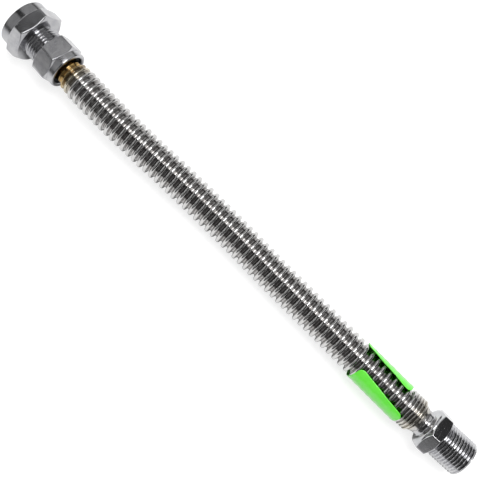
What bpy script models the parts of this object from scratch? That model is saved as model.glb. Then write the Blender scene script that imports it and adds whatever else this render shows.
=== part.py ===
"""Extensible stainless steel water hose with a hex nipple, a captive union nut and a reducing adapter.

Metres, +Z up. The hose lies on z = 0 along X: the adapter is at -X and the nipple at +X.
Each fitting is turned about its own axis, local Z, which its empty lays along the hose.
"""

import math

import bpy
import numpy as np
from mathutils import Matrix, Vector

# Gaps: between pieces that seat on each other, and round a thread that runs in another piece
seat_gap = 0.0003
thread_gap = 0.0003

# Pipe threads, 1/2 and 3/4 inch parallel: plain rings in place of male turns, plain bores for female ones
thread_pitch = 0.0254 / 14
thread_depth = 0.640327 * thread_pitch
half_inch_radius = 0.0104775
three_quarter_bore = 0.01206
thread_relief = 0.0011
chamfer_slope = math.tan(math.radians(30))

# Corrugated tube: open rings, the first of them lower, then closed ones
crest_radius = 0.0100
root_radius = 0.0076
tube_wall = 0.0005
open_rings = 60
closed_rings = 4
closed_pitch = 0.0019
closed_crest_radius = 0.0101
closed_root_radius = 0.0087
first_crest_radius = 0.0094
end_run = 0.0014
tube_sides = 12

# Pitch of the open rings, pulled apart unevenly by hand, at shares of their number from the adapter
ring_pitch = [
    (0.00, 0.00397), (0.10, 0.00406), (0.25, 0.00426), (0.40, 0.00437),
    (0.50, 0.00424), (0.65, 0.00426), (0.80, 0.00434), (1.00, 0.00446),
]

# Way of the hose over the table, as shares of the tube's length and sideways offsets
sideways = [
    (0.00, -0.0017), (0.09, -0.0023), (0.19, -0.0017), (0.31, -0.0002), (0.43, 0.0006),
    (0.60, 0.0001), (0.74, 0.0000), (0.88, -0.0006), (1.00, -0.0005),
]
adapter_turn = math.radians(-2.5)
nipple_turn = math.radians(2.5)
drop_share = 0.45
rise_share = 0.40

# Flanged tailpiece welded to the tube inside the union nut
spigot_length = 0.0030
spigot_bore = 0.0058
spigot_radius = (root_radius - tube_wall) * math.cos(math.pi / tube_sides) - seat_gap
neck_radius = 0.0070
neck_exposed = 0.0058
bead_radius = 0.0075
bead_width = 0.0016
flange_radius = 0.0103
flange_thickness = 0.0020

# Gasket between the flange and the end of the adapter
gasket_thickness = 0.0020
gasket_bore = 0.0062
gasket_radius = 0.0100

# Union nut
nut_side_wall = 0.0012225
nut_flats = 2 * (half_inch_radius + thread_gap + nut_side_wall)
nut_hex_length = 0.0115
nut_shoulder_length = 0.0040
nut_shoulder_radius = nut_flats / 2 - 0.0002
nut_wall = 0.0030
nut_mouth_radius = 0.0096
nut_rounding = 0.0010
nut_lead_in = 0.0005
nut_rest_turn = math.radians(-8)

# Reducing adapter, screwed part of the way into the nut
screwed_out = 0.0039
adapter_flats = 0.0300
adapter_male_length = 0.0131
adapter_hex_length = 0.0083
adapter_collar_length = 0.0058
adapter_collar_radius = 0.0146
adapter_bore = 0.00725
socket_depth = 0.0115
collar_rounding = 0.0007

# Hex nipple welded to the other end
nipple_hex_step = 0.0010225
nipple_flats = 2 * (half_inch_radius + nipple_hex_step)
nipple_neck_radius = 0.0075
nipple_neck_length = 0.0050
nipple_flare_length = 0.0029
nipple_hex_length = 0.0074
nipple_thread_length = 0.0184
nipple_bore = 0.00725
nipple_rest_turn = math.radians(-9)

# Label, wrapped round the underside of the hose and open along its top
label_length = 0.0328
label_width = 0.0525
label_corner = 0.0030
label_thickness = 0.0003
label_skew = math.radians(6.5)
label_from_nipple = 0.0264
label_roll = math.radians(-2)

turned_sides = 32

for old in list(bpy.data.objects):
    bpy.data.objects.remove(old, do_unlink=True)

parts = bpy.data.collections.new("flexible_hose")
helpers = bpy.data.collections.new("flexible_hose_helpers")
bpy.context.scene.collection.children.link(parts)
bpy.context.scene.collection.children.link(helpers)


def material(name, colour, roughness, metallic):
    made = bpy.data.materials.new(name)
    made.use_nodes = True
    shader = made.node_tree.nodes["Principled BSDF"]
    shader.inputs["Base Color"].default_value = (*colour, 1.0)
    shader.inputs["Roughness"].default_value = roughness
    shader.inputs["Metallic"].default_value = metallic
    return made


def add_object(name, mesh, collection=parts, parent=None, look=None):
    made = bpy.data.objects.new(name, mesh)
    collection.objects.link(made)
    made.parent = parent
    if look:
        mesh.materials.append(look)
    if collection is helpers:
        made.hide_render = True
        made.display_type = "WIRE"
    return made


def turned(name, outline, sides=turned_sides, **placing):
    """A closed outline of (radius, z) points, outer side first from the top down, turned about local Z."""
    mesh = bpy.data.meshes.new(name)
    points = [(radius, 0.0, z) for radius, z in outline]
    edges = [(i, (i + 1) % len(points)) for i in range(len(points))]
    mesh.from_pydata(points, edges, [])
    made = add_object(name, mesh, **placing)
    screw = made.modifiers.new("turn", "SCREW")
    screw.steps = screw.render_steps = sides
    screw.use_merge_vertices = True
    screw.merge_threshold = 0.00001
    return made


def corner_radius(flats):
    return flats / 2 / math.cos(math.radians(30))


def hex_outline(flats, top, bottom, top_radius=None, bottom_radius=None):
    """The turned outline of a hex between two heights, its corners cut by cones at 30 degrees."""
    full = corner_radius(flats) * 1.04
    top_radius = top_radius or flats / 2 * 0.985
    bottom_radius = bottom_radius or flats / 2 * 0.985
    return [
        (top_radius, top),
        (full, top - (full - top_radius) * chamfer_slope),
        (full, bottom + (full - bottom_radius) * chamfer_slope),
        (bottom_radius, bottom),
    ]


def male_thread(high, low):
    """The outline of a 1/2 inch male thread between two heights, from the top down, as rings at its pitch."""
    count = int((high - low) / thread_pitch)
    first = high - (high - low - (count - 1) * thread_pitch) / 2
    crest, root = half_inch_radius, half_inch_radius - thread_depth
    points = [(crest, high)]
    for middle in (first - groove * thread_pitch for groove in range(count)):
        points += [
            (crest, middle + 0.38 * thread_pitch), (root, middle + 0.12 * thread_pitch),
            (root, middle - 0.12 * thread_pitch), (crest, middle - 0.38 * thread_pitch),
        ]
    return points + [(crest, low)]


def mill_hex(blank, flats, top, bottom, turn=0.0):
    """Cuts six flats into a turned blank with a ring whose inside is the hexagon, one flat facing down."""
    inner, outer = corner_radius(flats), 2 * flats
    past = 0.0004
    ring = [(outer, top + past), (outer, bottom - past), (inner, bottom - past), (inner, top + past)]
    cutter = turned(blank.name + "_flats", ring, sides=6, collection=helpers, parent=blank.parent)
    cutter.rotation_euler.z = math.radians(30) + turn
    cut = blank.modifiers.new("flats", "BOOLEAN")
    cut.operation = "DIFFERENCE"
    cut.solver = "EXACT"
    cut.object = cutter


def rest_height(flats, turn):
    """Height of a hex bar's axis over the table when the bar is turned a little from lying on a flat."""
    return corner_radius(flats) * math.cos(math.radians(30) - abs(turn))


def ring_positions():
    """Heights of the crests along the straight tube, and the tube's whole length."""
    share = np.arange(open_rings - 1) / (open_rings - 1)
    steps = np.interp(share, *np.array(ring_pitch).T)
    crests = end_run + np.concatenate([[0.0], np.cumsum(steps)])
    closed = crests[-1] + closed_pitch * np.arange(1, closed_rings + 1)
    crests = np.concatenate([crests, closed])
    return crests, crests[-1] + end_run


crest_heights, tube_length = ring_positions()


def smooth_step(share):
    share = np.clip(share, 0.0, 1.0)
    return share * share * (3 - 2 * share)


def route():
    """Points of the hose's centre line: sideways through the chosen offsets, and down to lie on the table."""
    stations, offsets = np.array(sideways).T
    slopes = np.gradient(offsets, stations)
    slopes[0], slopes[-1] = np.tan([adapter_turn, nipple_turn]) * tube_length
    share = np.linspace(0.0, 1.0, 121)
    span = np.clip(np.searchsorted(stations, share, side="right") - 1, 0, len(stations) - 2)
    width = stations[span + 1] - stations[span]
    u = (share - stations[span]) / width
    y = (
        (1 + 2 * u) * (1 - u) ** 2 * offsets[span]
        + u * (1 - u) ** 2 * width * slopes[span]
        + u * u * (3 - 2 * u) * offsets[span + 1]
        - u * u * (1 - u) * width * slopes[span + 1]
    )
    adapter_drop = rest_height(adapter_flats, 0.0) - crest_radius
    nipple_rise = rest_height(nipple_flats, nipple_rest_turn) - crest_radius
    z = crest_radius + adapter_drop * (1 - smooth_step(share / drop_share))
    z += nipple_rise * smooth_step((share - 1 + rise_share) / rise_share)
    line = np.column_stack([share * tube_length, y, z])
    lengths = np.linalg.norm(np.diff(line, axis=0), axis=1).sum()
    line[:, 0] *= tube_length / lengths
    return line


route_points = route()
fitting_length = (
    neck_exposed + nut_wall + flange_thickness + gasket_thickness + 2 * seat_gap
    + screwed_out + adapter_male_length + adapter_hex_length + adapter_collar_length
)
nipple_length = nipple_neck_length + nipple_flare_length + nipple_hex_length + nipple_thread_length
whole_length = fitting_length + route_points[-1, 0] + nipple_length
route_points[:, 0] += fitting_length - whole_length / 2


def axis_empty(name, place, turn):
    """An empty whose local Z points along the hose, turned sideways by an angle, with local X up."""
    along = Vector((math.cos(turn), math.sin(turn), 0.0))
    up = Vector((0.0, 0.0, 1.0))
    made = bpy.data.objects.new(name, None)
    helpers.objects.link(made)
    facing = Matrix((up, along.cross(up), along)).transposed()
    made.matrix_world = Matrix.Translation(place) @ facing.to_4x4()
    made.empty_display_size = 0.02
    return made


adapter_axis = axis_empty("adapter_axis", route_points[0], adapter_turn)
nipple_axis = axis_empty("nipple_axis", route_points[-1], nipple_turn)

stainless = material("polished_stainless", (0.62, 0.61, 0.60), 0.18, 1.0)
tinted = material("heat_tinted_stainless", (0.62, 0.46, 0.22), 0.25, 1.0)
chrome = material("satin_chrome", (0.52, 0.53, 0.55), 0.25, 1.0)
bright_chrome = material("bright_chrome", (0.58, 0.58, 0.59), 0.15, 1.0)
fibre = material("gasket_fibre", (0.05, 0.20, 0.12), 0.80, 0.0)
green_film = material("green_label_film", (0.10, 0.82, 0.05), 0.40, 0.0)


def tube_outline():
    """Outer and inner walls of the bellows: a crest at each ring and a flat root between two rings."""
    radii = np.full(len(crest_heights), crest_radius)
    radii[open_rings:] = closed_crest_radius
    radii[0] = first_crest_radius
    inner_crest = 2.2 * tube_wall
    outer, inner = [(root_radius, 0.0)], [(root_radius - tube_wall, 0.0)]
    for i, (height, radius) in enumerate(zip(crest_heights, radii)):
        outer.append((radius, height))
        inner.append((radius - inner_crest, height))
        if i == len(crest_heights) - 1:
            break
        pitch = crest_heights[i + 1] - height
        root = root_radius if i < open_rings - 1 else closed_root_radius
        outer += [(root, height + 0.32 * pitch), (root, height + 0.68 * pitch)]
        inner += [(root - tube_wall, height + 0.26 * pitch), (root - tube_wall, height + 0.74 * pitch)]
    outer.append((root_radius, tube_length))
    inner.append((root_radius - tube_wall, tube_length))
    return outer[::-1] + inner


def lay_along_route(piece, guide):
    bend = piece.modifiers.new("lie on the table", "CURVE")
    bend.object = guide
    bend.deform_axis = "POS_Z"


guide_data = bpy.data.curves.new("hose_route", "CURVE")
guide_data.dimensions = "3D"
spline = guide_data.splines.new("POLY")
spline.points.add(len(route_points) - 1)
for point, place in zip(spline.points, route_points):
    point.co = (*place, 1.0)
hose_route = add_object("hose_route", guide_data, collection=helpers)

tube = turned("corrugated_tube", tube_outline(), sides=tube_sides, look=stainless)
lay_along_route(tube, hose_route)


def label_sheet():
    """A sheet with rounded corners, rolled round the tube from its underside and skewed a little on it."""
    columns = 28
    inset = label_corner * (1 - np.cos(np.radians([0, 45, 90])))
    half = label_length / 2
    rows = np.concatenate([-half + inset, [0.0], half - inset[::-1]])
    middle = tube_length - label_from_nipple
    radius = crest_radius + seat_gap
    mesh = bpy.data.meshes.new("label")
    points, faces = [], []
    for along in rows:
        past = max(0.0, abs(along) - (half - label_corner))
        trim = label_corner - math.sqrt(max(0.0, label_corner**2 - past**2))
        for share in np.linspace(-1.0, 1.0, columns + 1):
            across = share * (label_width / 2 - trim)
            angle = (along * math.sin(label_skew) + across * math.cos(label_skew)) / radius
            height = along * math.cos(label_skew) - across * math.sin(label_skew)
            around = label_roll + angle
            points.append((radius * math.sin(around), -radius * math.cos(around), middle + height))
    for row in range(len(rows) - 1):
        for column in range(columns):
            first = row * (columns + 1) + column
            faces.append((first, first + 1, first + columns + 2, first + columns + 1))
    mesh.from_pydata(points, [], faces)
    return mesh


label = add_object("label", label_sheet(), look=green_film)
skin = label.modifiers.new("film", "SOLIDIFY")
skin.thickness = label_thickness
skin.offset = 1.0
lay_along_route(label, hose_route)

# Heights on the adapter's axis, from the end of the tube outwards
nut_top = -neck_exposed
nut_seat = nut_top - nut_wall
flange_top = nut_seat - seat_gap
flange_bottom = flange_top - flange_thickness
gasket_top = flange_bottom - seat_gap
gasket_bottom = gasket_top - gasket_thickness
male_end = gasket_bottom - screwed_out
hex_top = male_end - adapter_male_length
hex_bottom = hex_top - adapter_hex_length
collar_end = hex_bottom - adapter_collar_length
nut_hex_top = nut_top - nut_shoulder_length
nut_bottom = nut_hex_top - nut_hex_length


def tailpiece_outline():
    """The tailpiece from its spigot down: the spigot in the tube, the neck with two beads, and the flange."""
    shoulder = -seat_gap
    first_bead = shoulder - bead_width
    second_bead = first_bead - 1.6 * bead_width
    outer = [(spigot_radius, spigot_length), (spigot_radius, shoulder), (neck_radius, shoulder)]
    for bead in (first_bead, second_bead):
        outer += [
            (neck_radius, bead + bead_width / 2),
            (bead_radius, bead + bead_width / 4),
            (bead_radius, bead - bead_width / 4),
            (neck_radius, bead - bead_width / 2),
        ]
    outer += [(neck_radius, flange_top), (flange_radius, flange_top), (flange_radius, flange_bottom)]
    return outer + [(spigot_bore, flange_bottom), (spigot_bore, spigot_length)]


turned("tailpiece", tailpiece_outline(), parent=adapter_axis, look=tinted)

gasket_ring = [
    (gasket_radius, gasket_top), (gasket_radius, gasket_bottom),
    (gasket_bore, gasket_bottom), (gasket_bore, gasket_top),
]
turned("gasket", gasket_ring, parent=adapter_axis, look=fibre)


def nut_outline():
    """The nut from its hose end down: rounded shoulder, hex, then the threaded bore and the countersunk hole."""
    bore = half_inch_radius + thread_gap
    hole = bead_radius + seat_gap
    outer = [
        (nut_shoulder_radius - nut_rounding, nut_top),
        (nut_shoulder_radius - 0.3 * nut_rounding, nut_top - 0.3 * nut_rounding),
        (nut_shoulder_radius, nut_top - nut_rounding),
        (nut_shoulder_radius, nut_hex_top),
    ]
    outer += hex_outline(nut_flats, nut_hex_top, nut_bottom, bottom_radius=nut_flats / 2 * 0.93)
    inner = [
        (bore + nut_lead_in, nut_bottom),
        (bore, nut_bottom + nut_lead_in),
        (bore, nut_seat),
        (hole, nut_seat),
        (hole, nut_seat + nut_wall / 2),
        (nut_mouth_radius, nut_top),
    ]
    return outer + inner


union_nut = turned("union_nut", nut_outline(), parent=adapter_axis, look=chrome)
mill_hex(union_nut, nut_flats, nut_hex_top, nut_bottom, nut_rest_turn)


def adapter_outline():
    """The adapter from its male end down: thread, relief, hex and collar, then the socket and the bore."""
    lead = thread_relief * 0.9
    relief_radius = half_inch_radius - thread_relief
    outer = [(half_inch_radius - lead, male_end)]
    outer += male_thread(male_end - lead, hex_top + 1.6 * thread_relief)
    outer += [(relief_radius, hex_top + thread_relief), (relief_radius, hex_top)]
    outer += hex_outline(adapter_flats, hex_top, hex_bottom)
    outer += [
        (adapter_collar_radius, hex_bottom),
        (adapter_collar_radius, collar_end + collar_rounding),
        (adapter_collar_radius - collar_rounding, collar_end),
    ]
    socket_end = collar_end + socket_depth
    inner = [
        (three_quarter_bore + collar_rounding, collar_end),
        (three_quarter_bore, collar_end + collar_rounding),
        (three_quarter_bore, socket_end),
        (adapter_bore, socket_end + 0.2 * (three_quarter_bore - adapter_bore)),
        (adapter_bore, male_end),
    ]
    return outer + inner


adapter = turned("reducing_adapter", adapter_outline(), parent=adapter_axis, look=chrome)
mill_hex(adapter, adapter_flats, hex_top, hex_bottom)


def nipple_outline():
    """The nipple from its threaded end down: thread, relief, hex, flare, neck and the spigot in the tube."""
    neck_top = nipple_neck_length
    flats_bottom = neck_top + nipple_flare_length
    flats_top = flats_bottom + nipple_hex_length
    end = flats_top + nipple_thread_length
    lead = thread_relief * 0.9
    relief_radius = half_inch_radius - thread_relief
    outer = [(half_inch_radius - lead, end)]
    outer += male_thread(end - lead, flats_top + 1.6 * thread_relief)
    outer += [(relief_radius, flats_top + thread_relief), (relief_radius, flats_top)]
    outer += hex_outline(nipple_flats, flats_top, flats_bottom)
    outer += [
        (nipple_neck_radius + 0.35 * nipple_flare_length, neck_top + 0.5 * nipple_flare_length),
        (nipple_neck_radius, neck_top),
        (nipple_neck_radius, seat_gap),
        (spigot_radius, seat_gap),
        (spigot_radius, -spigot_length),
    ]
    inner = [(spigot_bore, -spigot_length), (spigot_bore, neck_top), (nipple_bore, flats_bottom), (nipple_bore, end)]
    return outer + inner, flats_top, flats_bottom


outline, flats_top, flats_bottom = nipple_outline()
nipple = turned("hex_nipple", outline, parent=nipple_axis, look=bright_chrome)
mill_hex(nipple, nipple_flats, flats_top, flats_bottom, nipple_rest_turn)


def settle(piece):
    """Keeps what the modifiers make as the piece's own mesh, smooth over round faces and sharp at edges."""
    graph = bpy.context.evaluated_depsgraph_get()
    made = bpy.data.meshes.new_from_object(piece.evaluated_get(graph))
    piece.modifiers.clear()
    made.name = piece.name
    piece.data = made
    made.shade_smooth()
    made.set_sharp_from_angle(angle=math.radians(30))


bpy.context.view_layer.update()
for piece in list(parts.objects):
    settle(piece)
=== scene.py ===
"""Looks of an extensible corrugated steel water hose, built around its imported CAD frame. Metres, +Z up."""

import math

import bpy
import numpy as np
from mathutils import Matrix


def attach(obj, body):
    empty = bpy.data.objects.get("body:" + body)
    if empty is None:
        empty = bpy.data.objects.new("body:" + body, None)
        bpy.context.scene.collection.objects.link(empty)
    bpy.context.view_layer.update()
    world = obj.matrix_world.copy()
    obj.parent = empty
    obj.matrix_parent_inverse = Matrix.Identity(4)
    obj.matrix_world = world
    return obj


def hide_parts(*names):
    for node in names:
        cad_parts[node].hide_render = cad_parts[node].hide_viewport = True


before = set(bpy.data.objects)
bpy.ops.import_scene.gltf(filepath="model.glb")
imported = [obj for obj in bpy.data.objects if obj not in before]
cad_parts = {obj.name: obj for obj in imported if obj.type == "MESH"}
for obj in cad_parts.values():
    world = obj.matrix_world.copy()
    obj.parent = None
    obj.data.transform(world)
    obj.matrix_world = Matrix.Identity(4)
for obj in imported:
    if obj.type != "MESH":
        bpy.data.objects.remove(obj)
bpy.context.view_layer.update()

# ---------------------------------------------------------------------------------------------------------
# Corrugated tube. One thin stainless tube, rolled into rings, which are pulled apart by hand to make the
# hose longer; the last four rings are still closed. It is polished, and straw and brown near its welds.

crest_radius = 0.0100
root_radius = 0.0076
closed_crest_radius = 0.0101
closed_root_radius = 0.0087
first_crest_radius = 0.0094
shoulder_radius = 0.0085
start_radius = 0.0078
tube_wall = 0.0004
open_rings = 60
closed_rings = 4
closed_pitch = 0.0019
end_run = 0.0014
# Share of the way from the first open ring to the last, and the distance between two rings there
ring_pitch = [
    (0.00, 0.00397), (0.10, 0.00406), (0.25, 0.00426), (0.40, 0.00437),
    (0.50, 0.00424), (0.65, 0.00426), (0.80, 0.00434), (1.00, 0.00446),
]
# Share of the tube's length, and how far its centre line lies towards +Y there
sideways = [
    (0.00, -0.0017), (0.09, -0.0023), (0.19, -0.0017), (0.31, -0.0002), (0.43, 0.0006),
    (0.60, 0.0001), (0.74, 0.0000), (0.88, -0.0006), (1.00, -0.0005),
]
adapter_turn = math.radians(-2.5)
nipple_turn = math.radians(2.5)
adapter_drop = 0.0050
nipple_rise = 0.00239707
drop_share = 0.45
rise_share = 0.40
fitting_length = 0.0445
whole_length = 0.3397949


def smooth_step(share):
    """Goes from 0 to 1 as share does, level at both ends: 3 s squared less 2 s cubed."""
    share = np.clip(share, 0.0, 1.0)
    return share * share * (3 - 2 * share)


def crest_heights():
    """Distance of each ring's crest from the tube's start: the sum of the pitches before it."""
    share = np.arange(open_rings - 1) / (open_rings - 1)
    steps = np.interp(share, *np.array(ring_pitch).T)
    opened = end_run + np.concatenate([[0.0], np.cumsum(steps)])
    closed = opened[-1] + closed_pitch * np.arange(1, closed_rings + 1)
    return np.concatenate([opened, closed])


crests = crest_heights()
tube_length = crests[-1] + end_run


def route():
    """Centre line of the hose: a cubic through the sideways offsets, and a smooth fall and rise in height."""
    stations, offsets = np.array(sideways).T
    slopes = np.gradient(offsets, stations)
    slopes[0], slopes[-1] = np.tan([adapter_turn, nipple_turn]) * tube_length
    share = np.linspace(0.0, 1.0, 121)
    span = np.clip(np.searchsorted(stations, share, side="right") - 1, 0, len(stations) - 2)
    width = stations[span + 1] - stations[span]
    u = (share - stations[span]) / width
    y = (
        (1 + 2 * u) * (1 - u) ** 2 * offsets[span]
        + u * (1 - u) ** 2 * width * slopes[span]
        + u * u * (3 - 2 * u) * offsets[span + 1]
        - u * u * (1 - u) * width * slopes[span + 1]
    )
    z = crest_radius + adapter_drop * (1 - smooth_step(share / drop_share))
    z += nipple_rise * smooth_step((share - 1 + rise_share) / rise_share)
    line = np.column_stack([share * tube_length, y, z])
    line[:, 0] *= tube_length / np.linalg.norm(np.diff(line, axis=0), axis=1).sum()
    line[:, 0] += fitting_length - whole_length / 2
    return line


centre_line = route()
line_lengths = np.concatenate([[0.0], np.cumsum(np.linalg.norm(np.diff(centre_line, axis=0), axis=1))])
line_ways = np.gradient(centre_line, line_lengths, axis=0)


def wrap_hose(heights, angles, radii):
    """Lays points round the hose: from the centre line at a height, out by a radius, at an angle from +Y
    round over the top. Each argument is an array of one shape, and the result has a last axis of 3."""
    centre = np.stack([np.interp(heights, line_lengths, centre_line[:, i]) for i in range(3)], axis=-1)
    way = np.stack([np.interp(heights, line_lengths, line_ways[:, i]) for i in range(3)], axis=-1)
    way /= np.linalg.norm(way, axis=-1, keepdims=True)
    side = np.cross([0.0, 0.0, 1.0], way)
    side /= np.linalg.norm(side, axis=-1, keepdims=True)
    over = np.cross(way, side)
    out = np.cos(angles)[..., None] * side + np.sin(angles)[..., None] * over
    return centre + radii[..., None] * out


def grid_mesh(name, points, round_columns=True, round_rows=False, smooth_below=40):
    """A surface through a grid of points (row, column, xyz): each quad joins a point, the next one in its row
    and the two beside them in the next row. The columns, and for a closed wall the rows too, run back to the
    first. The UV map holds the column's and the row's share."""
    rows, columns = points.shape[:2]
    index = np.arange(rows * columns).reshape(rows, columns)
    if round_columns:
        index = np.concatenate([index, index[:, :1]], axis=1)
    if round_rows:
        index = np.concatenate([index, index[:1]], axis=0)
    shares = np.stack(np.meshgrid(
        np.linspace(0, 1, index.shape[1]), np.linspace(0, 1, index.shape[0])), axis=-1)

    def corners(grid):
        """The four corners of each quad, in order round it."""
        return np.stack([grid[:-1, :-1], grid[:-1, 1:], grid[1:, 1:], grid[1:, :-1]], axis=2)

    quads = corners(index).reshape(-1, 4)
    mesh = bpy.data.meshes.new(name)
    mesh.vertices.add(rows * columns)
    mesh.vertices.foreach_set("co", points.astype(np.float32).ravel())
    mesh.loops.add(quads.size)
    mesh.loops.foreach_set("vertex_index", quads.astype(np.int32).ravel())
    mesh.polygons.add(len(quads))
    mesh.polygons.foreach_set("loop_start", np.arange(0, quads.size, 4, dtype=np.int32))
    mesh.update(calc_edges=True)
    layer = mesh.uv_layers.new(name="surface")
    layer.data.foreach_set("uv", corners(shares).astype(np.float32).ravel())
    mesh.shade_smooth()
    mesh.set_sharp_from_angle(angle=math.radians(smooth_below))
    return mesh


def add_piece(name, mesh, look, body, node):
    """Puts a finished mesh in the scene in place of a CAD node, on the node's body, with the given look as
    its material.
    """
    mesh.materials.append(look)
    piece = bpy.data.objects.new(name, mesh)
    bpy.context.scene.collection.objects.link(piece)
    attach(piece, body)
    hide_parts(node)
    return piece


# One ring's wall, from crest to crest, by the angle that it has turned through: a half ellipse out, then a
# half ellipse in, so that the flanks between them stand upright. The crest takes the larger share.
crest_share = 0.54
ring_turn = np.linspace(0.0, 2 * np.pi, 17)


def ring_wall(turn):
    """Share of the pitch and of the depth at an angle: the pitch's share swings by half the crest's share on
    a crest and by half the rest in the groove, as the sine; the depth's share is a raised cosine."""
    swing = np.sin(turn) / 2
    share = np.where(np.cos(turn) > 0, crest_share * swing, 0.5 - (1 - crest_share) * swing)
    share = np.where((np.cos(turn) > 0) & (turn > np.pi), 1 + crest_share * swing, share)
    return share, 0.5 + 0.5 * np.cos(turn)


def bellows_radius(heights):
    """Outer radius of the bellows at a height, and how far down its groove a point is (0 on a crest, 1 at a
    root), read off one ring's wall. The closed rings' grooves are shallow. Before the first crest the wall
    falls smoothly to the tailpiece, over three quarters of the way, and past the last one it is a cone, bent
    out a little by a power of 1.2, that meets the nipple's."""
    ring = np.clip(np.searchsorted(crests, heights, side="right") - 1, 0, len(crests) - 2)
    share = np.clip((heights - crests[ring]) / (crests[ring + 1] - crests[ring]), 0.0, 1.0)
    peaks = np.full(len(crests), crest_radius)
    peaks[open_rings:] = closed_crest_radius
    peaks[0] = first_crest_radius
    peak = np.interp(heights, crests, peaks)
    root = np.where(ring < open_rings - 1, root_radius, closed_root_radius)
    wave = np.interp(share, *ring_wall(np.linspace(0.0, 2 * np.pi, 257)))
    radius = root + (peak - root) * wave
    before, past = crests[0] - heights, heights - crests[-1]
    fall = smooth_step(before / (0.75 * end_run))
    radius = np.where(before > 0, peaks[0] + (start_radius - peaks[0]) * fall, radius)
    cone = np.clip(past / end_run, 0.0, 1.0) ** 1.2
    radius = np.where(past > 0, peaks[-1] + (shoulder_radius - peaks[-1]) * cone, radius)
    return radius, np.where(before > 0, fall, np.where(past > 0, 0.0, 1 - wave))


def bellows():
    """The tube's two walls as one closed surface of (height, angle), and how far down its groove each point
    is. The outer wall has 16 rows to a ring, and each ring leans, is out of round and is dented a little by
    sums of sines, which fade out near the ends. The plainer inner wall is thickest under the crests."""
    inner_steps, columns = 4, 66
    lean_size, dent_size, ripple_size, quiet_end = 0.00005, 0.000035, 0.00002, 0.003
    random = np.random.default_rng(7)
    ends = np.linspace(0.0, crests[0], 6, endpoint=False)
    spans = crests[:-1, None] + np.diff(crests)[:, None] * ring_wall(ring_turn[:-1])[0]
    heights = np.concatenate([ends, spans.ravel(), tube_length - ends[::-1]])
    angles = np.linspace(0.0, 2 * np.pi, columns, endpoint=False)
    height, angle = np.meshgrid(heights, angles, indexing="ij")
    radius, groove = bellows_radius(height)

    knots = np.arange(len(crests))
    place = np.interp(height, crests, knots)

    def each_ring(spread):
        """A random amount for each ring, which changes evenly from one crest to the next."""
        return np.interp(place, knots, random.normal(0.0, spread, len(crests)))

    inside = smooth_step(np.minimum(height, tube_length - height) / quiet_end)
    lean = each_ring(lean_size) * np.cos(angle) + each_ring(lean_size) * np.sin(angle)
    dents = each_ring(dent_size) * np.cos(2 * angle) + each_ring(dent_size) * np.sin(3 * angle)
    dents += ripple_size * np.sin(5 * angle + place * 2.3) * np.sin(place * 0.9)
    outer = wrap_hose(height + inside * lean, angle, radius + inside * (1 - groove) * dents)

    spans = crests[:-1, None] + np.diff(crests)[:, None] * np.arange(inner_steps) / inner_steps
    inner_heights = np.concatenate([[0.0], spans.ravel(), [crests[-1], tube_length]])[::-1]
    height, angle = np.meshgrid(inner_heights, angles, indexing="ij")
    radius, depth = bellows_radius(height)
    inner = wrap_hose(height, angle, radius - tube_wall * (1.4 - 0.2 * depth))
    depth_of = np.concatenate([groove.ravel(), np.full(depth.size, 1.0)])
    return np.concatenate([outer, inner]), depth_of


def fill_inputs(tree, node, values):
    """Sets a node's inputs to values, or joins them to sockets."""
    for key, value in values.items():
        if isinstance(value, bpy.types.NodeSocket):
            tree.links.new(value, node.inputs[key])
        else:
            node.inputs[key].default_value = value


def add_node(tree, kind, inputs=None, **settings):
    """Adds a shader node, sets its fields, and fills its inputs."""
    made = tree.nodes.new(kind)
    for field, value in settings.items():
        setattr(made, field, value)
    fill_inputs(tree, made, inputs or {})
    return made


def math_node(tree, operation, *values):
    """The result of one sum on values or sockets."""
    return add_node(tree, "ShaderNodeMath", dict(enumerate(values)), operation=operation).outputs[0]


def map_range(tree, value, low, high, to_low=0.0, to_high=1.0, smooth=False):
    """Carries a value from one range to another, held at the ends, by a straight line or a smooth step."""
    return add_node(tree, "ShaderNodeMapRange", {
        "Value": value, "From Min": low, "From Max": high, "To Min": to_low, "To Max": to_high},
        interpolation_type="SMOOTHSTEP" if smooth else "LINEAR").outputs[0]


def mix_colours(tree, share, first, second, way="MIX"):
    """Two colours mixed by a share, where each is a socket or three numbers."""
    first, second = [(*colour, 1.0) if isinstance(colour, tuple) else colour for colour in (first, second)]
    return add_node(tree, "ShaderNodeMix", {0: share, 6: first, 7: second},
                    data_type="RGBA", blend_type=way).outputs[2]


def noise_at(tree, spot, scale, detail, **inputs):
    """The value of a noise at a place."""
    return add_node(tree, "ShaderNodeTexNoise", {
        "Vector": spot, "Scale": scale, "Detail": detail, **inputs}).outputs[0]


def split_axes(tree, vector):
    """The X, Y and Z of a vector."""
    return add_node(tree, "ShaderNodeSeparateXYZ", {0: vector}).outputs


def fine_bump(tree, height, strength, distance=0.0002):
    """The surface's normal, tipped by the slopes of a height."""
    return add_node(tree, "ShaderNodeBump", {
        "Height": height, "Strength": strength, "Distance": distance}).outputs[0]


def new_material(name):
    """A material, its nodes' tree, its Principled shader, and the place of each point of the surface."""
    made = bpy.data.materials.new(name)
    made.use_nodes = True
    tree = made.node_tree
    return made, tree, tree.nodes["Principled BSDF"], add_node(tree, "ShaderNodeTexCoord").outputs["Object"]


def new_group(name, inputs, outputs):
    """An empty shader node group with named value, vector and colour sockets: the group, the sockets that it
    is given, and the node that its results go into."""
    kinds = {"value": "NodeSocketFloat", "vector": "NodeSocketVector", "colour": "NodeSocketColor"}
    group = bpy.data.node_groups.new(name, "ShaderNodeTree")
    for label, kind, start in inputs:
        socket = group.interface.new_socket(label, in_out="INPUT", socket_type=kinds[kind])
        if start is not None:
            socket.default_value = start
    for label, kind in outputs:
        group.interface.new_socket(label, in_out="OUTPUT", socket_type=kinds[kind])
    return group, group.nodes.new("NodeGroupInput").outputs, group.nodes.new("NodeGroupOutput")


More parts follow.
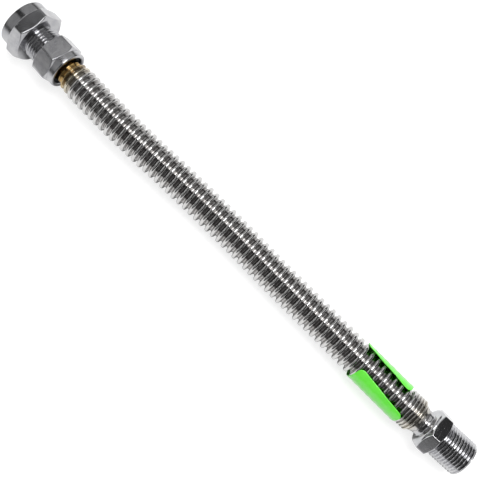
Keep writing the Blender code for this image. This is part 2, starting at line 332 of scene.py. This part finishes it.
def make_handling_wear():
    """Group for bare metal that has been handled: soft smudges, short fine scratches, and both as a height.
    A scratch starts where the larger of two long, thin noises passes 1.19 less the amount."""
    group, given, out = new_group(
        "handling_wear",
        [("Vector", "vector", None), ("Smudge Size", "value", 90.0), ("Scratch Size", "value", 260.0),
         ("Scratch Amount", "value", 0.5)],
        [("Smudges", "value"), ("Scratches", "value"), ("Height", "value")],
    )
    smudge = noise_at(group, given["Vector"], given["Smudge Size"], 5.0, Roughness=0.6)
    lines = []
    for turn, squeeze in ((0.5, (1.0, 14.0, 14.0)), (-0.9, (14.0, 1.0, 9.0))):
        laid = add_node(group, "ShaderNodeMapping", {
            "Vector": given["Vector"], "Rotation": (turn, 0.4, turn), "Scale": squeeze})
        lines.append(noise_at(group, laid.outputs[0], given["Scratch Size"], 2.0))
    faintest = math_node(group, "SUBTRACT", 1.19, given["Scratch Amount"])
    scratch = map_range(group, math_node(group, "MAXIMUM", *lines), faintest, 0.80)
    height = math_node(group, "MULTIPLY_ADD", scratch, -0.5, smudge)
    fill_inputs(group, out, {"Smudges": smudge, "Scratches": scratch, "Height": height})
    return group


handling_wear = make_handling_wear()


def make_heat_tint():
    """Group for the colours that welding leaves on steel: straw, then brown, then blue, by a share of heat
    that uneven noise shifts."""
    group, given, out = new_group(
        "heat_tint",
        [("Vector", "vector", None), ("Steel", "colour", (0.6, 0.6, 0.6, 1.0)), ("Heat", "value", 0.0)],
        [("Colour", "colour")],
    )
    uneven = math_node(group, "MULTIPLY_ADD", noise_at(group, given["Vector"], 230.0, 3.0), 0.5, 0.75)
    ramp = add_node(group, "ShaderNodeValToRGB", {0: math_node(group, "MULTIPLY", given["Heat"], uneven)})
    colours = [
        (0.0, (1.0, 1.0, 1.0)), (0.25, (0.97, 0.86, 0.62)), (0.50, (0.88, 0.62, 0.24)),
        (0.75, (0.52, 0.30, 0.13)), (1.0, (0.26, 0.20, 0.22)),
    ]
    stops = ramp.color_ramp.elements
    for place, colour in colours[1:-1]:
        stops.new(place)
    for stop, (place, colour) in zip(stops, colours):
        stop.position, stop.color = place, (*colour, 1.0)
    fill_inputs(group, out, {"Colour": mix_colours(group, 1.0, given["Steel"], ramp.outputs[0], "MULTIPLY")})
    return group


heat_tint = make_heat_tint()


def tube_steel():
    """Polished stainless: painted shade that darkens the colour down in the grooves, patchy with the smudges,
    weld colours near both ends, and a polish that is duller in the grooves and in smudges."""
    look, tree, shader, spot = new_material("polished_stainless")
    groove = add_node(tree, "ShaderNodeAttribute", attribute_name="groove").outputs["Fac"]
    wear = add_node(tree, "ShaderNodeGroup", {
        "Vector": spot, "Smudge Size": 130.0, "Scratch Size": 330.0, "Scratch Amount": 0.42},
        node_tree=handling_wear).outputs
    # Painted shade: the colour darkens down in the grooves, more where the smudges are.
    painted_groove_shade = math_node(tree, "MULTIPLY", map_range(tree, wear["Smudges"], 0.42, 0.68, 0.60, 1.00), groove)
    steel = mix_colours(tree, painted_groove_shade, (0.64, 0.635, 0.63), (0.28, 0.268, 0.262))
    along = split_axes(tree, spot)["X"]
    heat = math_node(
        tree, "ADD", map_range(tree, along, -0.1190, -0.1262, 0.0, 0.24, smooth=True),
        map_range(tree, along, 0.1265, 0.1365, 0.0, 0.10, smooth=True))
    tint = add_node(tree, "ShaderNodeGroup", {"Vector": spot, "Steel": steel, "Heat": heat},
                    node_tree=heat_tint)
    dull = map_range(tree, wear["Smudges"], 0.3, 0.75, 0.06, 0.19)
    fill_inputs(tree, shader, {
        "Base Color": tint.outputs["Colour"], "Metallic": 1.0,
        "Roughness": math_node(tree, "MULTIPLY_ADD", groove, 0.02, dull),
        "Normal": fine_bump(tree, wear["Height"], 0.12)})
    return look


points, groove_depth = bellows()
tube_mesh = grid_mesh("corrugated_tube_looks", points, round_rows=True, smooth_below=75)
tube_mesh.attributes.new("groove", "FLOAT", "POINT").data.foreach_set(
    "value", groove_depth.astype(np.float32))
tube = add_piece("bellows", tube_mesh, tube_steel(), "hose", "corrugated_tube")

# ---------------------------------------------------------------------------------------------------------
# Hex nipple. Turned and milled from steel bar, bright, with a 1/2 inch parallel pipe thread on its free end.
# Its neck goes into the last closed ring, where a thin weld holds it.

thread_pitch = 0.0254 / 14
thread_depth = 0.640327 * thread_pitch
half_inch_radius = 0.0104775
thread_relief = 0.0011
relief_radius = half_inch_radius - thread_relief
root_inside = (root_radius - 0.0005) * math.cos(math.pi / 12) - 0.0003
weld_gap = 0.0002
weld_dents = 0.00010
side_share = 0.985
nipple_flats = 0.0230
nipple_side_radius = side_share * nipple_flats / 2
nipple_cone_radius = 0.0085
nipple_cone_length = 0.0036
nipple_neck_radius = 0.0075
nipple_neck_length = 0.0050
nipple_flare_length = 0.0029
nipple_dome_length = 0.0019
nipple_hex_length = 0.0074
nipple_thread_length = 0.0184
nipple_bore = 0.00725
spigot_bore = 0.0058
spigot_length = 0.0030
lip_chamfer = 0.0003
chamfer_slope = math.tan(math.radians(30))
nipple_rest_turn = math.radians(-9)

# Angles round a turned piece, closer together beside the six corners of a hex whose flats face up and down
beside_corner = np.array([0.0, 0.35, 0.9, 1.8, 3.2, 5.0, 7.5, 10.5, 14.0, 18.0, 22.0, 26.0, 30.0])
one_side = np.concatenate([-beside_corner[:0:-1], beside_corner[:-1]])
around = np.radians(30 + 60 * np.arange(6)[:, None] + one_side).ravel()


def smooth_less(first, second, edge):
    """The smaller of two arrays, with the edge where they meet rounded off: half the sum, less the root of
    half the difference squared plus edge squared."""
    return (first + second) / 2 - np.sqrt(((first - second) / 2) ** 2 + edge**2)


def turned_rows(corners, rounding=0.00015, steps=3):
    """Rows (radius, height) of a turned profile: each inner corner becomes a parabola that starts and ends at
    the rounding's distance from it, or at 0.45 of the shorter side."""
    corners = np.array(corners, dtype=float)
    before, at, after = corners[:-2], corners[1:-1], corners[2:]
    back, ahead = before - at, after - at
    lengths = np.linalg.norm(back, axis=1, keepdims=True), np.linalg.norm(ahead, axis=1, keepdims=True)
    cut = np.minimum(rounding, 0.45 * np.minimum(*lengths))
    start, end = at + back / lengths[0] * cut, at + ahead / lengths[1] * cut
    t = np.linspace(0, 1, steps + 1)[None, :, None]
    curve = (1 - t) ** 2 * start[:, None] + 2 * t * (1 - t) * at[:, None] + t**2 * end[:, None]
    rows = np.concatenate([corners[:1], curve.reshape(-1, 2), corners[-1:]])
    return np.broadcast_to(rows[:, None, :], (len(rows), len(around), 2))


def hex_rows(flats, low, high, low_radius, high_radius):
    """Rows of a hexagon bar between two heights: the radius is half the flats over the cosine of the angle
    from the nearest flat, cut at both ends by cones that rise 30 degrees, all edges rounded a little."""
    away = (around + np.pi / 6) % (np.pi / 3) - np.pi / 6
    nearest, other = np.cos(away), np.cos(np.pi / 3 - np.abs(away))
    blended = (nearest + other) / 2 + np.sqrt(((nearest - other) / 2) ** 2 + 0.005**2)
    prism = flats / 2 / blended
    fine = np.array([0, .04, .09, .15, .22, .31, .42, .55, .69, .83, .97, 1.11, 1.25, 1.39, 1.53, 1.67, 1.85])
    fine = fine / 1000 * flats / 0.030
    heights = np.concatenate([low + fine, high - fine[::-1]])[:, None]
    top_cone = high_radius + (high - heights) / chamfer_slope
    bottom_cone = low_radius + (heights - low) / chamfer_slope
    radius = smooth_less(np.broadcast_to(prism, (len(heights), len(around))), top_cone, 0.00006)
    radius = smooth_less(radius, bottom_cone, 0.00006)
    return np.stack([radius, np.broadcast_to(heights, radius.shape)], axis=-1)


def thread_rows(low, high, outside, turn=0.0, grow=0.0, steps=16):
    """Rows of a right-hand pipe thread: its phase is height over pitch less the share of a turn, and the
    radius swings between crest and root as the arcsine of a cosine, a triangle with rounded tips. outside
    gives the largest radius at a height, which cuts the crests at run-outs and chamfers, and grow makes the
    thread wider than the 1/2 inch one."""
    heights = np.linspace(low, high, int((high - low) / thread_pitch * steps) + 1)[:, None]
    phase = heights / thread_pitch - (around + turn) / (2 * np.pi)
    swing = np.arcsin(0.88 * np.cos(2 * np.pi * phase)) / math.asin(0.88)
    radius = half_inch_radius + grow - thread_depth / 2 * (1 - swing)
    radius = smooth_less(radius, outside(heights) + 0 * radius, 0.00003)
    return np.stack([radius, np.broadcast_to(heights, radius.shape)], axis=-1)


def place_rows(blocks, start, way, turn=0.0):
    """Joins blocks of rows and lays them on an axis from start: height along the way, and the angle from
    straight up, through the axis's own side."""
    rows = np.concatenate(blocks)
    along = np.array([math.cos(way), math.sin(way), 0.0])
    up = np.array([0.0, 0.0, 1.0])
    side = np.cross(along, up)
    radius, height = rows[..., :1], rows[..., 1:]
    angle = (around + turn)[:, None]
    return start + height * along + radius * (np.cos(angle) * up + np.sin(angle) * side)


def male_limit(heights, hex_end, thread_end):
    """Largest radius of a male thread at a height: a plain relief beside the hex, a slope of 1 in 0.6 out of
    it, and a chamfer of nearly 45 degrees at the free end."""
    run_out = relief_radius + (heights - hex_end - thread_relief) / 0.6
    lead = half_inch_radius - 1.05 * (heights - thread_end + 0.9 * thread_relief)
    return np.minimum(np.maximum(run_out, relief_radius), lead)


def nipple_rows():
    """The nipple from the spigot in the tube outwards: a cone, a waist that the weld has left uneven by sums
    of sines, the hex's shoulder as a quarter of an ellipse, the hex and its thread, then back along its
    bore."""
    neck_end = nipple_neck_length
    flats_low = neck_end + nipple_flare_length
    flats_high = flats_low + nipple_hex_length
    end = flats_high + nipple_thread_length

    neck = turned_rows([
        (root_inside, -spigot_length), (root_inside, weld_gap), (nipple_cone_radius - weld_gap, weld_gap),
        (nipple_cone_radius, 2 * weld_gap), (nipple_neck_radius, nipple_cone_length),
        (nipple_neck_radius, neck_end + 0.0004)], 0.0016, 8)
    place = np.linspace(0, len(neck) - 1, 40)
    low = place.astype(int).clip(0, len(neck) - 2)
    neck = neck[low] + (place - low)[:, None, None] * (neck[low + 1] - neck[low])
    height = neck[..., 1]
    uneven = 1.5 + np.cos(3600 * height)
    uneven += np.sin(4 * around + 2300 * height) + np.sin(7 * around - 1500 * height + 2)
    inside = smooth_step((height - 0.0006) / 0.001) * smooth_step((neck_end + 0.0002 - height) / 0.001)
    neck[..., 0] -= weld_dents * inside * uneven

    waist = nipple_neck_radius + 0.0003
    turn = np.linspace(0.0, np.pi / 2, 12)
    dome = np.column_stack([
        waist + (nipple_side_radius - waist) * np.sin(turn), flats_low - nipple_dome_length * np.cos(turn)])
    dome = turned_rows(np.vstack([[(nipple_neck_radius, neck_end + 0.0006)], dome]), 0.0001, 1)
    hexagon = hex_rows(nipple_flats, flats_low, flats_high, nipple_side_radius, nipple_side_radius)
    face = turned_rows([(0.98 * nipple_flats / 2, flats_high), (relief_radius, flats_high),
                        (relief_radius, flats_high + 0.0004)], 0.0001)
    thread = thread_rows(flats_high + 0.0005, end, lambda heights: male_limit(heights, flats_high, end))
    bore = turned_rows([
        (relief_radius, end), (nipple_bore + lip_chamfer, end), (nipple_bore, end - lip_chamfer),
        (nipple_bore, flats_low), (spigot_bore, neck_end), (spigot_bore, -spigot_length),
        (root_inside, -spigot_length)], 0.0002)
    return [neck, dome, hexagon, face, thread, bore[1:-1]]


def axis_distance(tree, axes):
    """Distance from the X axis: the length of Y and Z together."""
    flat = add_node(tree, "ShaderNodeCombineXYZ", {"Y": axes["Y"], "Z": axes["Z"]})
    return add_node(tree, "ShaderNodeVectorMath", {0: flat.outputs[0]}, operation="LENGTH").outputs["Value"]


def make_turning_marks():
    """Group for the fine rings that a lathe leaves: a noise that runs fast with distance along the axis plus
    distance from it, and slowly round it. The Vector has the piece's axis on X."""
    group, given, out = new_group(
        "turning_marks",
        [("Vector", "vector", None), ("Fineness", "value", 2500.0)],
        [("Rings", "value")],
    )
    axes = split_axes(group, given["Vector"])
    far = math_node(group, "ADD", axes["X"], axis_distance(group, axes))
    laid = add_node(group, "ShaderNodeCombineXYZ", {
        "X": math_node(group, "MULTIPLY", far, given["Fineness"]),
        "Y": math_node(group, "MULTIPLY", axes["Y"], 60.0),
        "Z": math_node(group, "MULTIPLY", axes["Z"], 60.0)})
    fill_inputs(group, out, {"Rings": noise_at(group, laid.outputs[0], 1.0, 2.0)})
    return group


turning_marks = make_turning_marks()


def plated_look(name, light, dark, polish, start, way, marks, wear_values, heat=None, painted_shade_radius=None):
    """Bright or satin metal on a turned piece: the colour goes from light to dark in smudges and scratches,
    and the polish follows the smudges and the lathe's rings. heat gives (x of none, x of most, share), and
    the last argument the distance from the axis inside which painted shade makes the metal nearly black."""
    look, tree, shader, spot = new_material(name)
    laid = add_node(tree, "ShaderNodeMapping", {
        "Vector": spot, "Location": tuple(start), "Rotation": (0.0, 0.0, way)},
        vector_type="TEXTURE").outputs[0]
    wear = add_node(tree, "ShaderNodeGroup", {"Vector": laid, **wear_values}, node_tree=handling_wear).outputs
    rings = add_node(tree, "ShaderNodeGroup", {"Vector": laid, "Fineness": marks},
                     node_tree=turning_marks).outputs["Rings"]
    colour = mix_colours(tree, map_range(tree, wear["Smudges"], 0.32, 0.70), light, dark)
    colour = mix_colours(tree, wear["Scratches"], colour, (0.92, 0.92, 0.93))
    if heat:
        share = map_range(tree, split_axes(tree, spot)["X"], heat[0], heat[1], 0.0, heat[2], smooth=True)
        colour = add_node(tree, "ShaderNodeGroup", {"Vector": spot, "Steel": colour, "Heat": share},
                          node_tree=heat_tint).outputs["Colour"]
    # Painted shade: inside a radius the colour goes nearly black, standing in for the shade deep in the nut's
    # mouth.
    if painted_shade_radius:
        radius = axis_distance(tree, split_axes(tree, laid))
        unshaded_share = map_range(tree, radius, painted_shade_radius - 0.0002, painted_shade_radius + 0.0002)
        colour = mix_colours(tree, unshaded_share, (0.02, 0.02, 0.02), colour)
    dull = map_range(tree, wear["Smudges"], 0.3, 0.72, *polish)
    height = math_node(tree, "MULTIPLY_ADD", rings, 0.6, wear["Height"])
    fill_inputs(tree, shader, {
        "Base Color": colour, "Roughness": math_node(tree, "MULTIPLY_ADD", rings, 0.10, dull),
        "Normal": fine_bump(tree, height, 0.15), "Metallic": 1.0})
    return look


def add_turned(name, rows, start, way, turn, look, body, node):
    """Puts a turned or milled piece in the scene: its closed profile, laid on its axis from start."""
    mesh = grid_mesh(node + "_looks", place_rows(rows, start, way, turn), round_rows=True)
    return add_piece(name, mesh, look, body, node)


nipple_start = centre_line[-1]
nipple_look = plated_look(
    "bright_turned_steel", (0.66, 0.66, 0.67), (0.48, 0.48, 0.50), (0.05, 0.14), nipple_start, nipple_turn,
    5200.0, {"Smudge Size": 120.0, "Scratch Size": 300.0, "Scratch Amount": 0.43},
    heat=(nipple_start[0] + 0.0060, nipple_start[0] - 0.0010, 0.12))
nipple = add_turned("threaded_nipple", nipple_rows(), nipple_start, nipple_turn, nipple_rest_turn,
                    nipple_look, "hose", "hex_nipple")

# ---------------------------------------------------------------------------------------------------------
# Tailpiece. A short stainless neck with two fine beads and a wide one, welded to the tube's first ring; the
# weld's heat has turned it gold. Its flange sits inside the union nut and holds the nut on the hose.

seat_gap = 0.0003
neck_radius = 0.0070
neck_exposed = 0.0058
bead_radius = 0.0075
last_bead_radius = 0.0090
# Each bead's middle, radius and half width, and the part of the neck that holds them
beads = [(-0.0016, last_bead_radius, 0.0010), (-0.0040, bead_radius, 0.0008), (-0.0050, bead_radius, 0.0006)]
beads_low = -0.0056
beads_high = -0.0006
weld_radius = 0.0079
flange_radius = 0.0103
flange_thickness = 0.0020
nut_wall = 0.0030
nut_seat = -neck_exposed - nut_wall
flange_top = nut_seat - seat_gap
flange_bottom = flange_top - flange_thickness


def tailpiece_rows():
    """The tailpiece from its flange towards the hose: neck, two fine beads and a wide one, each swelling as a
    raised cosine to the power 0.6, a thin weld and the spigot, then back along its bore."""
    flange = turned_rows([
        (spigot_bore, flange_bottom), (flange_radius, flange_bottom), (flange_radius, flange_top),
        (neck_radius, flange_top), (neck_radius, beads_low)], 0.0002)
    height = np.linspace(beads_low, beads_high, 60)
    radius = np.full_like(height, neck_radius)
    for middle, top, half in beads:
        off = np.clip(np.abs(height - middle) / half, 0.0, 1.0)
        radius += (top - neck_radius) * (0.5 + 0.5 * np.cos(np.pi * off)) ** 0.6
    neck = turned_rows(np.column_stack([radius, height]), 0.00005, 1)
    weld = turned_rows([
        (neck_radius, beads_high), (weld_radius - 0.0005, -0.0005), (weld_radius, -weld_gap),
        (root_inside, -weld_gap), (root_inside, spigot_length), (spigot_bore, spigot_length),
        (spigot_bore, flange_bottom)], 0.00025)
    return [flange, neck, weld[:-1]]


adapter_start = centre_line[0]
tinted_look = plated_look(
    "heat_tinted_stainless", (0.72, 0.66, 0.58), (0.16, 0.13, 0.11), (0.05, 0.14), adapter_start,
    adapter_turn, 2200.0, {"Smudge Size": 160.0, "Scratch Size": 300.0, "Scratch Amount": 0.40},
    heat=(adapter_start[0] + 0.0010, adapter_start[0] - 0.0035, 0.46))
add_turned("beaded_tailpiece", tailpiece_rows(), adapter_start, adapter_turn, 0.0,
           tinted_look, "hose", "tailpiece")

# ---------------------------------------------------------------------------------------------------------
# Gasket. A flat ring of fibre and rubber, laid against the tailpiece's flange inside the nut. Hidden while
# the adapter is in the nut, and seen only when that is taken off.

gasket_thickness = 0.0020
gasket_bore = 0.0062
gasket_radius = 0.0100
gasket_top = flange_bottom - seat_gap
gasket_bottom = gasket_top - gasket_thickness


def fibre_look():
    """Pressed green fibre: fine light and dark flecks in the colour, and a grain in its height."""
    look, tree, shader, spot = new_material("gasket_fibre")
    fleck = noise_at(tree, spot, 1500.0, 4.0)
    colour = mix_colours(tree, map_range(tree, fleck, 0.35, 0.65), (0.035, 0.16, 0.09), (0.09, 0.27, 0.17))
    fill_inputs(tree, shader, {
        "Base Color": colour, "Normal": fine_bump(tree, fleck, 0.4, 0.0001), "Roughness": 0.82})
    return look


gasket_ring = turned_rows([
    (gasket_bore, gasket_top), (gasket_bore, gasket_bottom), (gasket_radius, gasket_bottom),
    (gasket_radius, gasket_top), (gasket_bore + 0.0004, gasket_top)], 0.0002)
add_turned("fibre_gasket", [gasket_ring], adapter_start, adapter_turn, 0.0,
           fibre_look(), "hose", "gasket")

# ---------------------------------------------------------------------------------------------------------
# Union nut. Brass, turned and milled, then chromed to a satin finish. It turns on the tailpiece's neck, and
# its 1/2 inch thread runs on the adapter's.

nut_flats = 0.0240
nut_end_radius = 0.93 * nut_flats / 2
nut_side_radius = side_share * nut_flats / 2
nut_hex_length = 0.0115
nut_shoulder_length = 0.0040
nut_shoulder_radius = 0.0118
nut_mouth_radius = 0.0096
nut_rest_turn = math.radians(-8)
nut_top = -neck_exposed
nut_hex_top = nut_top - nut_shoulder_length
nut_bottom = nut_hex_top - nut_hex_length
thread_play = 0.00018


def female_rows(low, high, limit, mouth_radius, turn=0.0, grow=0.0):
    """Rows of a female thread from its inner end back to its mouth, which a 45 degree cone opens; limit is
    the largest radius that it reaches."""
    rows = thread_rows(low, high, lambda heights: limit, turn, grow, 12)[::-1].copy()
    rows[..., 0] = np.maximum(rows[..., 0], mouth_radius - (rows[..., 1] - low))
    return rows


def nut_rows():
    """The nut from its threaded mouth towards the hose: hex, round shoulder, countersunk hole, then the seat,
    a relief and the thread inside."""
    hole = bead_radius + seat_gap
    relief = half_inch_radius + 0.0002
    hexagon = hex_rows(nut_flats, nut_bottom, nut_hex_top, nut_end_radius, nut_side_radius)
    shoulder = turned_rows([
        (nut_shoulder_radius, nut_hex_top), (nut_shoulder_radius, nut_top), (nut_mouth_radius, nut_top),
        (nut_mouth_radius - 0.0004, nut_seat + 0.0008), (hole, nut_seat + 0.0007), (hole, nut_seat),
        (relief, nut_seat), (relief, nut_seat - 0.0016)], 0.0009, 6)
    thread = female_rows(nut_bottom, nut_seat - 0.0018, half_inch_radius + 0.0004, half_inch_radius + 0.0005,
                         nut_rest_turn, thread_play)
    return [hexagon, shoulder, thread]


# The nut's mouth gets painted shade: its colour goes nearly black inside the mouth's radius.
nut_look = plated_look(
    "satin_chrome_nut", (0.56, 0.56, 0.57), (0.38, 0.38, 0.40), (0.13, 0.22), adapter_start,
    adapter_turn, 2000.0, {"Smudge Size": 210.0, "Scratch Size": 280.0, "Scratch Amount": 0.44},
    painted_shade_radius=nut_mouth_radius - 0.0001)
add_turned("captive_nut", nut_rows(), adapter_start, adapter_turn, nut_rest_turn,
           nut_look, "nut", "union_nut")

# ---------------------------------------------------------------------------------------------------------
# Reducing adapter. Chromed brass with a 1/2 inch male thread, which is screwed part of the way into the nut,
# a 30 mm hex, and a round collar with a 3/4 inch female thread.

screwed_out = 0.0039
adapter_flats = 0.0300
adapter_male_length = 0.0131
adapter_hex_length = 0.0083
adapter_collar_length = 0.0058
adapter_collar_radius = 0.0146
adapter_side_radius = side_share * adapter_flats / 2
adapter_bore = 0.00725
three_quarter_bore = 0.01206
socket_depth = 0.0115
socket_relief = three_quarter_bore + 0.0005
collar_rounding = 0.0007
male_end = gasket_bottom - screwed_out
hex_top = male_end - adapter_male_length
hex_bottom = hex_top - adapter_hex_length
collar_end = hex_bottom - adapter_collar_length


def adapter_rows():
    """The adapter from its collar towards the hose: collar, hex, relief and thread, then back down its bore
    and out through the socket's thread."""
    collar = turned_rows([
        (three_quarter_bore + collar_rounding, collar_end), (adapter_collar_radius, collar_end),
        (adapter_collar_radius, hex_bottom - 0.0001), (adapter_collar_radius - 0.0001, hex_bottom)],
        collar_rounding, 6)
    hexagon = hex_rows(adapter_flats, hex_bottom, hex_top, adapter_side_radius, adapter_side_radius)
    face = turned_rows([
        (adapter_side_radius - 0.0002, hex_top), (relief_radius, hex_top),
        (relief_radius, hex_top + 0.0004)], 0.0002)
    thread = thread_rows(hex_top + 0.0005, male_end, lambda heights: male_limit(heights, hex_top, male_end))
    socket_end = collar_end + socket_depth
    bore = turned_rows([
        (relief_radius, male_end), (adapter_bore + lip_chamfer, male_end),
        (adapter_bore, male_end - lip_chamfer),
        (adapter_bore, socket_end + 0.2 * (three_quarter_bore - adapter_bore)),
        (three_quarter_bore, socket_end), (socket_relief, socket_end - 0.0001),
        (socket_relief, socket_end - 0.0016)], 0.0002)
    socket = female_rows(collar_end + 0.0003, socket_end - 0.0018, 1.0, three_quarter_bore + 0.00068,
                         grow=three_quarter_bore + thread_depth - half_inch_radius)
    return [collar, hexagon, face, thread, bore[1:], socket]


adapter_look = plated_look(
    "satin_chrome_adapter", (0.50, 0.50, 0.51), (0.38, 0.38, 0.40), (0.09, 0.19), adapter_start,
    adapter_turn, 2400.0, {"Smudge Size": 150.0, "Scratch Size": 300.0, "Scratch Amount": 0.40})
add_turned("reducer", adapter_rows(), adapter_start, adapter_turn, 0.0,
           adapter_look, "adapter", "reducing_adapter")

# ---------------------------------------------------------------------------------------------------------
# Label. A plain green film, wrapped round the underside of the hose near the nipple and stuck to the crests,
# with its two edges left apart along the top.

label_length = 0.0328
label_width = 0.0525
label_corner = 0.0030
label_thickness = 0.00025
label_wave = 0.00007
label_lift = 0.00018
label_skew = math.radians(6.5)
label_from_nipple = 0.0264
label_roll = math.radians(-2)


def label_sheet():
    """The film as a surface of (along, across): rolled to a circle round the hose, the corners drawn in along
    quarter circles, with a faint wave that follows the crests below and its edges lifted a little."""
    half = label_length / 2
    edge = label_corner * (1 - np.cos(np.linspace(0, np.pi / 2, 9)))
    rows = np.concatenate([-half + edge, np.linspace(-half + label_corner, half - label_corner, 60)[1:-1],
                           half - edge[::-1]])
    along = rows[:, None]
    past = np.clip(np.abs(along) - (half - label_corner), 0.0, label_corner)
    trim = label_corner - np.sqrt(label_corner**2 - past**2)
    share = np.linspace(-1.0, 1.0, 91)[None, :]
    across = share * (label_width / 2 - trim)
    radius = crest_radius + seat_gap
    angle = (along * math.sin(label_skew) + across * math.cos(label_skew)) / radius
    height = along * math.cos(label_skew) - across * math.sin(label_skew)
    place = tube_length - label_from_nipple + height
    ring = np.interp(place, crests, np.arange(len(crests)))
    tight = 1 - smooth_step((np.abs(share) - 0.8) / 0.2)
    wave = label_wave * np.cos(2 * np.pi * ring) * tight
    lift = label_lift * smooth_step((np.abs(share) - 0.9) / 0.1) * (1 + 0.6 * np.sin(along * 420))
    return wrap_hose(place + 0 * angle, label_roll + angle - np.pi / 2, radius + wave + lift)


def label_film():
    """Smooth green film: the ink's colour drifts a little over the sheet, its gloss has faint smudges, and
    the height has a light orange-peel."""
    look, tree, shader, spot = new_material("green_label_film")
    drift = noise_at(tree, spot, 60.0, 3.0)
    fill_inputs(tree, shader, {
        "Base Color": mix_colours(tree, drift, (0.110, 0.79, 0.036), (0.165, 0.87, 0.064)),
        "Roughness": map_range(tree, drift, 0.3, 0.7, 0.26, 0.38),
        "Normal": fine_bump(tree, noise_at(tree, spot, 700.0, 2.0), 0.06), "Coat Weight": 0.8})
    return look


label_mesh = grid_mesh("label_looks", label_sheet(), round_columns=False)
label = add_piece("plain_label", label_mesh, label_film(), "hose", "label")
film = label.modifiers.new("film", "SOLIDIFY")
film.thickness = label_thickness
film.offset = 1.0

# ---------------------------------------------------------------------------------------------------------
# Table, light and camera. A white table that runs out past the picture. One bright lamp over the hose, and
# weaker ones beyond it, before it and past both its ends, in a dark room that the polished metal mirrors.
# The camera looks down from the hose's near side, as the photograph's does.


def white_table():
    """A white sheet that keeps shadows: a part of its light is diffuse, and the rest is an even white that
    only the camera, glass and reflections see. In reflections it carries a painted shadow under the hose,
    and painted light that fades far away from the hose."""
    look, tree, shader, spot = new_material("white_table")
    tree.nodes.remove(shader)
    rays = add_node(tree, "ShaderNodeLightPath").outputs
    aside = math_node(tree, "ABSOLUTE", split_axes(tree, spot)["Y"])
    # Painted light: in reflections the table is bright near the hose and fades away from it.
    painted_light_pool = map_range(tree, aside, 0.05, 0.30, 0.85, 0.0, smooth=True)
    # Painted shadow: in reflections the table is dark right under the hose.
    shade = map_range(tree, aside, 0.0092, 0.0118, 0.05, 1.0, smooth=True)
    mirrored = math_node(tree, "MULTIPLY", rays["Is Glossy Ray"], math_node(tree, "MULTIPLY", painted_light_pool, shade))
    seen = math_node(tree, "MAXIMUM", rays["Is Camera Ray"], mirrored)
    seen = math_node(tree, "MAXIMUM", seen, rays["Is Transmission Ray"])
    even = add_node(tree, "ShaderNodeEmission", {"Color": (0.68, 0.68, 0.68, 1.0), "Strength": seen})
    paper = add_node(tree, "ShaderNodeBsdfDiffuse", {"Color": (0.42, 0.42, 0.42, 1.0)})
    both = add_node(tree, "ShaderNodeAddShader", {0: even.outputs[0], 1: paper.outputs[0]})
    tree.links.new(both.outputs[0], tree.nodes["Material Output"].inputs["Surface"])
    return look


table_mesh = bpy.data.meshes.new("table")
table_mesh.from_pydata([(-4, -4, 0), (4, -4, 0), (4, 4, 0), (-4, 4, 0)], [], [(0, 1, 2, 3)])
table_mesh.materials.append(white_table())
table = bpy.data.objects.new("table", table_mesh)
bpy.context.scene.collection.objects.link(table)


def hose_way(back):
    """The hose's direction as it lies for an eye that looks along back: X, less its share of back."""
    way = np.array([1.0, 0.0, 0.0]) - back[0] * back
    return way / np.linalg.norm(way)


def stand(name, data, right, back, place):
    """Stands a lamp or a camera at a place, with its own X to the right and its back to back."""
    stood = bpy.data.objects.new(name, data)
    bpy.context.scene.collection.objects.link(stood)
    pose = np.eye(4)
    pose[:3, 0], pose[:3, 1], pose[:3, 2], pose[:3, 3] = right, np.cross(back, right), back, place
    stood.matrix_world = Matrix(pose)
    return stood


def soft_light(name, place, size, glow):
    """A rectangular lamp that faces the middle of the hose; glow is its surface brightness."""
    data = bpy.data.lights.new(name, "AREA")
    data.shape = "RECTANGLE"
    data.size, data.size_y = size
    data.energy = glow * math.pi * size[0] * size[1]
    away = np.array(place) / np.linalg.norm(place)
    stand(name, data, hose_way(away), away, place)


soft_light("key_light", (0.05, 0.17, 0.98), (0.86, 0.42), 4.6)
soft_light("band_beyond", (0.0, 0.72, 0.70), (0.46, 0.85), 0.75)
soft_light("band_before", (0.0, -0.80, 0.60), (0.40, 1.00), 0.22)
soft_light("panel_beyond", (-0.55, 0.74, 0.67), (0.60, 1.10), 0.40)
soft_light("panel_before", (-0.58, -0.64, 0.78), (0.60, 1.18), 0.34)
soft_light("end_light", (-1.10, 0.0, 0.42), (0.40, 1.40), 1.0)
soft_light("far_end_light", (0.95, 0.10, 0.47), (0.60, 0.90), 0.4)

# The room: dark overhead and a little lighter towards the horizon where metal mirrors it, an even grey as a
# source of light, and white where the camera sees past the table.
world = bpy.data.worlds.new("studio")
bpy.context.scene.world = world
world.use_nodes = True
tree = world.node_tree
background = tree.nodes["Background"]
rays = add_node(tree, "ShaderNodeLightPath").outputs
room_height = split_axes(tree, add_node(tree, "ShaderNodeTexCoord").outputs["Generated"])["Z"]
room_tone = map_range(tree, room_height, 0.0, 0.45, 0.13, 0.025, smooth=True)
room_glow = add_node(tree, "ShaderNodeMix", {0: rays["Is Diffuse Ray"], 2: room_tone, 3: 0.66})
room_glow = add_node(tree, "ShaderNodeMix", {0: rays["Is Camera Ray"], 2: room_glow.outputs[0], 3: 1.0})
tree.links.new(room_glow.outputs[0], background.inputs["Color"])
bpy.context.scene.view_settings.view_transform = "Standard"

camera_target = np.array([0.00228, 0.000106, 0.0120])
camera_distance = 0.4057
camera_lean = math.radians(14.47)
camera_aside = math.radians(3.67)
hose_slant = math.radians(44.8)
camera_data = bpy.data.cameras.new("camera")
camera_data.sensor_width = 36.0
camera_data.lens = 55.59
camera_data.clip_start, camera_data.clip_end = 0.01, 20.0
back = np.array([math.sin(camera_aside), -math.sin(camera_lean) * math.cos(camera_aside),
                 math.cos(camera_lean) * math.cos(camera_aside)])
along_hose = hose_way(back)
right = math.cos(hose_slant) * along_hose + math.sin(hose_slant) * np.cross(back, along_hose)
bpy.context.scene.camera = stand("camera", camera_data, right, back, camera_target + camera_distance * back)

bpy.context.view_layer.update()
